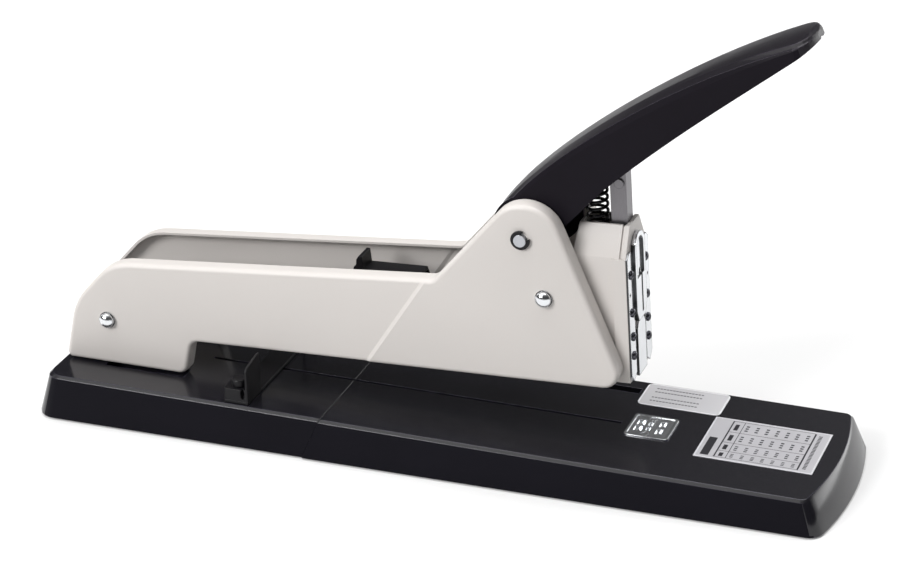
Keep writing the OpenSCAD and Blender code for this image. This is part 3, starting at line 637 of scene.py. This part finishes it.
def side_group(material):
    """Geometry group that gives faces turned to the sides a finish of their own, a shaded copy that
    keeps those sides dark.
    """
    sideways = 0.9
    g, i, o = new_group(material.name + "_sides", "Geometry",
                        [("Geometry", "Geometry", None)], [("Geometry", "Geometry")])
    facing = add(g, "GeometryNodeInputNormal").outputs[0]
    steep = add(g, "FunctionNodeCompare", data_type="FLOAT", operation="GREATER_THAN")
    feed(g, calc(g, "ABSOLUTE", axis(g, facing, "Y")), steep.inputs[0])
    feed(g, sideways, steep.inputs[1])
    change = add(g, "GeometryNodeSetMaterial", in_Material=material)
    feed(g, steep.outputs[0], change.inputs["Selection"])
    feed(g, i.outputs[0], change.inputs["Geometry"])
    feed(g, change.outputs[0], o.inputs[0])
    return g


def finish_sides(nodes, build):
    """Gives the nodes' faces that are turned to the sides the finish that build makes, a shaded
    copy that keeps those sides dark.
    """
    material = finish_of(build)
    for o in nodes:
        m = o.modifiers.new("side_finish", "NODES")
        m.node_group = bpy.data.node_groups.get(material.name + "_sides") or side_group(material)


def make_object(name, bm, material, degrees=SMOOTH):
    """New object from bmesh bm, with smooth shading."""
    mesh = bpy.data.meshes.new(name)
    bm.to_mesh(mesh)
    bm.free()
    mesh.materials.append(material)
    o = bpy.data.objects.new(name, mesh)
    bpy.context.scene.collection.objects.link(o)
    mesh.shade_smooth()
    mesh.set_sharp_from_angle(angle=math.radians(degrees))
    return o


def round_z(turn, radius=1.0):
    """Point at that angle and distance round Z."""
    return Vector((math.cos(turn) * radius, math.sin(turn) * radius, 0))


def helix(radius, wire, turns, low, high):
    """Mesh of a compression spring along Z whose end turns lie closed."""
    closed, sides, steps = 0.75, 14, 40      # closed share of an end turn, then points per turn
    bm = bmesh.new()
    count = int(turns * steps)
    ends = closed * steps
    close = wire * closed
    rise = high - low - wire

    def climb(k):
        """Height at step k: slow over the end turns, even between them."""
        if k < ends:
            return close * k / ends
        if k > count - ends:
            return rise - close * (count - k) / ends
        return close + (rise - 2 * close) * (k - ends) / (count - 2 * ends)

    rings = []
    for k in range(count + 1):
        out = round_z(FULL_TURN * k / steps)
        middle = out * radius + Vector((0, 0, low + wire / 2 + climb(k)))
        ring = []
        for j in range(sides):
            a = FULL_TURN * j / sides
            rim = out * (wire / 2 * math.cos(a)) + Vector((0, 0, wire / 2 * math.sin(a)))
            ring.append(bm.verts.new(middle + rim))
        rings.append(ring)
    for last, ring in zip(rings, rings[1:]):
        for j in range(sides):
            after = (j + 1) % sides
            bm.faces.new((last[j], last[after], ring[after], ring[j]))
    bm.faces.new(reversed(rings[0]))
    bm.faces.new(rings[-1])
    bmesh.ops.recalc_face_normals(bm, faces=bm.faces)
    return bm


def crossed_dome(bm, place, radius, height, recess):
    """Adds a domed screw head along Z of place, with a cross sunk in its crown."""
    around = 32
    rings = (0.14, 0.22, 0.34, 0.46, 0.58, 0.66, 0.84, 0.96, 1.0)
    fall, reach, half_arm = 0.9, 0.6, 0.16   # of the dome and the cross, as shares

    def point(ring, turn):
        z = height * math.sqrt(1 - fall * ring * ring)
        spot = round_z(turn, ring * radius)
        if ring < reach and min(abs(spot.x), abs(spot.y)) < half_arm * radius:
            z -= recess
        return bm.verts.new(place @ Vector((spot.x, spot.y, z)))

    crown = point(0, 0)
    last = [crown] * around
    for ring in rings:
        points = [point(ring, FULL_TURN * k / around) for k in range(around)]
        for k in range(around):
            after = (k + 1) % around
            corners = [last[k], points[k], points[after], last[after]]
            bm.faces.new(corners if last[0] is not crown else corners[:3])
        last = points
    foot = [bm.verts.new(place @ round_z(FULL_TURN * k / around, radius)) for k in range(around)]
    for k in range(around):
        after = (k + 1) % around
        bm.faces.new((last[k], foot[k], foot[after], last[after]))
    bm.faces.new(reversed(foot))


def middles(numbers, gap):
    """Middle of each run of numbers, where runs lie more than gap apart."""
    runs = []
    for number in sorted(numbers):
        if not runs or number - runs[-1][-1] > gap:
            runs.append([number])
        else:
            runs[-1].append(number)
    return [(run[0] + run[-1]) / 2 for run in runs]


# ---- operators -------------------------------------------------------------------------


class STAPLER_OT_base(bpy.types.Operator):
    """Finishes the two base mouldings"""

    bl_idname = "stapler.base"
    bl_label = "Base"
    bl_options = {"REGISTER", "UNDO"}

    def execute(self, context):
        base = finish_nodes(base_black, "base_shell", "base_front", "base_rear", degrees=32)
        finish_sides(base, base_side_shaded)
        return {"FINISHED"}


class STAPLER_OT_feet(bpy.types.Operator):
    """Finishes the rubber feet and the screws that hold them"""

    bl_idname = "stapler.feet"
    bl_label = "Feet"
    bl_options = {"REGISTER", "UNDO"}

    def execute(self, context):
        finish_nodes(foot_rubber, "feet", "rubber_feet")
        finish_nodes(zinc_steel, "zinc_steel", "foot_screws")
        return {"FINISHED"}


class STAPLER_OT_hinge(bpy.types.Operator):
    """Finishes the hinge bracket, the bolts, the shaft and clips, the rivets and the lift spring"""

    bl_idname = "stapler.hinge"
    bl_label = "Hinge"
    bl_options = {"REGISTER", "UNDO"}

    def execute(self, context):
        finish_nodes(zinc_steel, "zinc_steel", "hinge_bracket", "bracket_screws",
                     "rear_pivot_bolt", "rear_spacers", "front_bolt", "lever_shaft",
                     "core_rivets", "lift_spring")
        finish_nodes(dark_steel, "black_steel", "shaft_clips")
        return {"FINISHED"}


class STAPLER_OT_domes(bpy.types.Operator):
    """Finishes the chromed dome nuts"""

    bl_idname = "stapler.domes"
    bl_label = "Dome nuts"
    bl_options = {"REGISTER", "UNDO"}

    def execute(self, context):
        finish_nodes(bright_chrome, "bright_chrome", "rear_dome_nuts", "front_dome_nuts")
        return {"FINISHED"}


class STAPLER_OT_anvil(bpy.types.Operator):
    """Finishes the anvil and its screws"""

    bl_idname = "stapler.anvil"
    bl_label = "Anvil"
    bl_options = {"REGISTER", "UNDO"}

    def execute(self, context):
        finish_nodes(anvil_chrome, "anvil", "anvil_plate", "anvil_screws")
        return {"FINISHED"}


class STAPLER_OT_labels(bpy.types.Operator):
    """Finishes the two foil labels"""

    bl_idname = "stapler.labels"
    bl_label = "Labels"
    bl_options = {"REGISTER", "UNDO"}

    def execute(self, context):
        finish_nodes(table_label, "label", "scale_label")
        finish_nodes(plain_label, "label", "notice_label")
        return {"FINISHED"}


class STAPLER_OT_guide(bpy.types.Operator):
    """Finishes the paper guide and its clamp knob"""

    bl_idname = "stapler.guide"
    bl_label = "Paper guide"
    bl_options = {"REGISTER", "UNDO"}

    def execute(self, context):
        finish_nodes(black_plastic, "black_plastic", "paper_guide", "guide_knob")
        return {"FINISHED"}


class STAPLER_OT_plates(bpy.types.Operator):
    """Finishes the two painted side plates"""

    bl_idname = "stapler.plates"
    bl_label = "Side plates"
    bl_options = {"REGISTER", "UNDO"}

    def execute(self, context):
        finish_nodes(cream_paint, "cream_paint", "side_plate_near", "side_plate_far", degrees=20)
        return {"FINISHED"}


class STAPLER_OT_magazine(bpy.types.Operator):
    """Finishes the magazine, its core, the blade and the follower"""

    bl_idname = "stapler.magazine"
    bl_label = "Magazine"
    bl_options = {"REGISTER", "UNDO"}

    def execute(self, context):
        finish_nodes(sheet_steel, "mag_steel", "magazine_channel", "magazine_core",
                     "driver_blade")
        finish_nodes(black_plastic, "black_plastic", "staple_follower")
        finish_nodes(zinc_steel, "zinc_steel", "follower_spring")
        return {"FINISHED"}


class STAPLER_OT_head(bpy.types.Operator):
    """Finishes the driving head and its chromed strips, and makes the heads of their screws"""

    bl_idname = "stapler.head"
    bl_label = "Driving head"
    bl_options = {"REGISTER", "UNDO"}

    def execute(self, context):
        d = context.scene.stapler_detail
        finish_nodes(cream_paint, "cream_paint", "head_housing")
        strips = finish_nodes(bright_chrome, "bright_chrome", "face_strip_near",
                              "face_strip_far", "face_guide_bar")
        finish_sides(strips, chrome_side_shaded)
        skin, gap, digits = 0.01 * MM, 2, 2      # gap in millimetres, between two screws
        spots = points_on_arm("face_screws")
        front = max(p.x for p in spots)
        right, left = max(p.y for p in spots), min(p.y for p in spots)
        middle = (right + left) / 2
        outer = right - middle - d.screw / 2
        heights = {round(p.z / MM, digits) for p in spots
                   if p.x > front - skin and p.y > middle}
        bm = bmesh.new()
        facing = Matrix(((0, 0, 1), (1, 0, 0), (0, 1, 0))).to_4x4()
        for z in middles(heights, gap):
            for y in (middle - outer, middle + outer):
                spot = Matrix.Translation((front - d.screw_rise, y, z * MM))
                crossed_dome(bm, arm_matrix() @ spot @ facing, d.screw / 2, d.screw_rise,
                             d.recess)
        bmesh.ops.recalc_face_normals(bm, faces=bm.faces)
        o = make_object("face_screw_heads", bm, finish_of(screw_steel), 25)
        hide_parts("face_screws")
        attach(o, "arm")
        return {"FINISHED"}


class STAPLER_OT_driver(bpy.types.Operator):
    """Finishes the plunger and winds the return spring"""

    bl_idname = "stapler.driver"
    bl_label = "Driver"
    bl_options = {"REGISTER", "UNDO"}

    def execute(self, context):
        d = context.scene.stapler_detail
        finish_nodes(plunger_steel, "zinc_steel", "plunger", "blade_rivet")
        arm = arm_matrix()
        box = points_on_arm("return_spring")
        low, high = min(p.z for p in box), max(p.z for p in box)
        side = max(p.y for p in box)
        x = (min(p.x for p in box) + max(p.x for p in box)) / 2
        bm = helix(side - d.wire / 2, d.wire, d.coils, low, high)
        bm.transform(arm @ Matrix.Translation((x, 0, 0)))
        o = make_object("return_coil", bm, finish_of(dark_steel), 60)
        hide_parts("return_spring")
        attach(o, "arm")
        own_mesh(o)
        return {"FINISHED"}


class STAPLER_OT_lever(bpy.types.Operator):
    """Finishes the lever"""

    bl_idname = "stapler.lever"
    bl_label = "Lever"
    bl_options = {"REGISTER", "UNDO"}

    def execute(self, context):
        finish_sides(finish_nodes(lever_black, "lever_black", "lever", degrees=7), lever_side_shaded)
        return {"FINISHED"}


# ---- stage -----------------------------------------------------------------------------
# Angles are in degrees, with azimuth 0 in front and 90 on the right.

FLOOR_RADIUS, FLOOR_SEGMENTS = 9.0, 64
FLOOR_UNSEEN, FLOOR_SEEN = (0.5, 0.5, 0.5), (0.74, 0.74, 0.74)
FLOOR_LIFT = 0.15                            # glow that keeps the seen floor white
SENSOR, FAR_CLIP = 36, 60                    # millimetres, metres
OVERHEAD = (150, 82, 45)                     # azimuth, elevation, spread
FRONT = (-32, 28, 25)
CEILING_FROM, CEILING_FULL, CEILING = 0.5, 0.9, 0.6
# azimuth, elevation, radius at full strength, radius where it ends, strength
REFLECTORS = (
    (146, 3, 6, 25, 5.4),
    (180, 32, 5, 18, 0.3),
    (-40, 55, 6, 28, 1.7),
    (-86, 28, 4, 18, 2.5),
)


def floor_material():
    """Pale floor that keeps the shadow and shows white to the eye, in gloss and through glass."""
    m = bpy.data.materials.new("pale_floor")
    m.use_nodes = True
    t = m.node_tree
    t.nodes.clear()
    matt = add(t, "ShaderNodeBsdfDiffuse")
    glow = add(t, "ShaderNodeEmission", in_Color=(1, 1, 1, 1))
    ray = add(t, "ShaderNodeLightPath")
    seen = joined(t, [ray.outputs["Is Camera Ray"], ray.outputs["Is Glossy Ray"],
                      ray.outputs["Is Transmission Ray"]])
    feed(t, mix_colour(t, seen, FLOOR_UNSEEN, FLOOR_SEEN), matt.inputs["Color"])
    feed(t, calc(t, "MULTIPLY", seen, FLOOR_LIFT), glow.inputs["Strength"])
    both = add(t, "ShaderNodeAddShader")
    feed(t, matt.outputs[0], both.inputs[0])
    feed(t, glow.outputs[0], both.inputs[1])
    feed(t, both.outputs[0], add(t, "ShaderNodeOutputMaterial").inputs[0])
    return m


def from_angles(azimuth, elevation):
    """Unit vector towards that azimuth and elevation, both in radians."""
    level = math.cos(elevation)
    return Vector((math.sin(azimuth) * level, -math.cos(azimuth) * level, math.sin(elevation)))


def reflector(t, place, azimuth, elevation, inner, outer, strength):
    """Soft round glow of that strength, full within inner and gone beyond outer."""
    near = dot(t, place, from_angles(math.radians(azimuth), math.radians(elevation)))
    rim = (math.cos(math.radians(outer)), math.cos(math.radians(inner)))
    return spread(t, near, 0.0, strength, rim, interpolation_type="SMOOTHSTEP")


def studio_world(strength):
    """Room light: even and brighter overhead, with the soft reflectors added to it."""
    w = bpy.data.worlds.new("studio")
    w.use_nodes = True
    t = w.node_tree
    t.nodes.clear()
    place = add(t, "ShaderNodeTexCoord").outputs["Generated"]
    total = spread(t, axis(t, place, "Z"), strength, CEILING, (CEILING_FROM, CEILING_FULL),
                   interpolation_type="SMOOTHSTEP")
    for panel in REFLECTORS:
        total = calc(t, "ADD", total, reflector(t, place, *panel))
    back = add(t, "ShaderNodeBackground")
    feed(t, total, back.inputs["Strength"])
    feed(t, back.outputs[0], add(t, "ShaderNodeOutputWorld").inputs[0])
    return w


def soft_lamp(name, azimuth, elevation, spread_angle, strength):
    """Even light from one side, as soft as spread_angle is wide."""
    lamp = bpy.data.lights.new(name, "SUN")
    lamp.angle = math.radians(spread_angle)
    lamp.energy = strength
    o = bpy.data.objects.new(name, lamp)
    bpy.context.scene.collection.objects.link(o)
    towards = from_angles(math.radians(azimuth), math.radians(elevation))
    o.rotation_euler = towards.to_track_quat("Z", "Y").to_euler()


def place_camera(scene, p):
    """Camera at the stage's angles, looking at its point."""
    back = from_angles(p.azimuth, p.elevation)
    lens = bpy.data.cameras.new("camera")
    lens.sensor_width = SENSOR
    lens.lens = p.lens
    lens.clip_end = FAR_CLIP
    camera = bpy.data.objects.new("camera", lens)
    scene.collection.objects.link(camera)
    right = (-back).cross(Vector((0, 0, 1))).normalized()
    up = right.cross(-back)
    across = right * math.cos(p.roll) + up * math.sin(p.roll)
    above = up * math.cos(p.roll) - right * math.sin(p.roll)
    facing = Matrix((across, above, back)).transposed().to_4x4()
    camera.matrix_world = Matrix.Translation(Vector(p.look_at) + back * p.distance) @ facing
    scene.camera = camera


class STAPLER_OT_stage(bpy.types.Operator):
    """Sets the floor, the room light, two soft lamps and the camera"""

    bl_idname = "stapler.stage"
    bl_label = "Stage"
    bl_options = {"REGISTER", "UNDO"}

    def execute(self, context):
        p = context.scene.stapler_stage
        context.scene.view_settings.view_transform = "Standard"
        context.scene.world = studio_world(p.sky)
        bm = bmesh.new()
        bmesh.ops.create_circle(bm, cap_ends=True, segments=FLOOR_SEGMENTS,
                                radius=FLOOR_RADIUS)
        floor = make_object("floor", bm, floor_material())
        soft_lamp("overhead", *OVERHEAD, p.key)
        soft_lamp("front", *FRONT, p.fill)
        place_camera(context.scene, p)
        return {"FINISHED"}


PIECES = (STAPLER_OT_base, STAPLER_OT_feet, STAPLER_OT_hinge, STAPLER_OT_domes, STAPLER_OT_anvil,
          STAPLER_OT_labels, STAPLER_OT_guide, STAPLER_OT_plates, STAPLER_OT_magazine,
          STAPLER_OT_head, STAPLER_OT_driver, STAPLER_OT_lever, STAPLER_OT_stage)


class STAPLER_PT_panel(bpy.types.Panel):
    """Settings and build steps of the stapler"""

    bl_idname = "STAPLER_PT_panel"
    bl_label = "Stapler"
    bl_space_type = "VIEW_3D"
    bl_region_type = "UI"
    bl_category = "Stapler"

    def draw(self, context):
        s = context.scene
        for group in (s.stapler_finish, s.stapler_detail, s.stapler_stage):
            box = self.layout.box()
            for name in group.bl_rna.properties.keys():
                if name not in ("rna_type", "name"):
                    box.prop(group, name)
        for kind in PIECES:
            self.layout.operator(kind.bl_idname)


CLASSES = (STAPLER_PG_finish, STAPLER_PG_detail, STAPLER_PG_stage, *PIECES, STAPLER_PT_panel)


def register():
    for c in CLASSES:
        bpy.utils.register_class(c)
    bpy.types.Scene.stapler_finish = PointerProperty(type=STAPLER_PG_finish)
    bpy.types.Scene.stapler_detail = PointerProperty(type=STAPLER_PG_detail)
    bpy.types.Scene.stapler_stage = PointerProperty(type=STAPLER_PG_stage)


def unregister():
    del bpy.types.Scene.stapler_stage
    del bpy.types.Scene.stapler_detail
    del bpy.types.Scene.stapler_finish
    for c in reversed(CLASSES):
        bpy.utils.unregister_class(c)


def main():
    register()
    for kind in PIECES:
        group, name = kind.bl_idname.split(".")
        getattr(getattr(bpy.ops, group), name)()


if __name__ == "__main__":
    main()
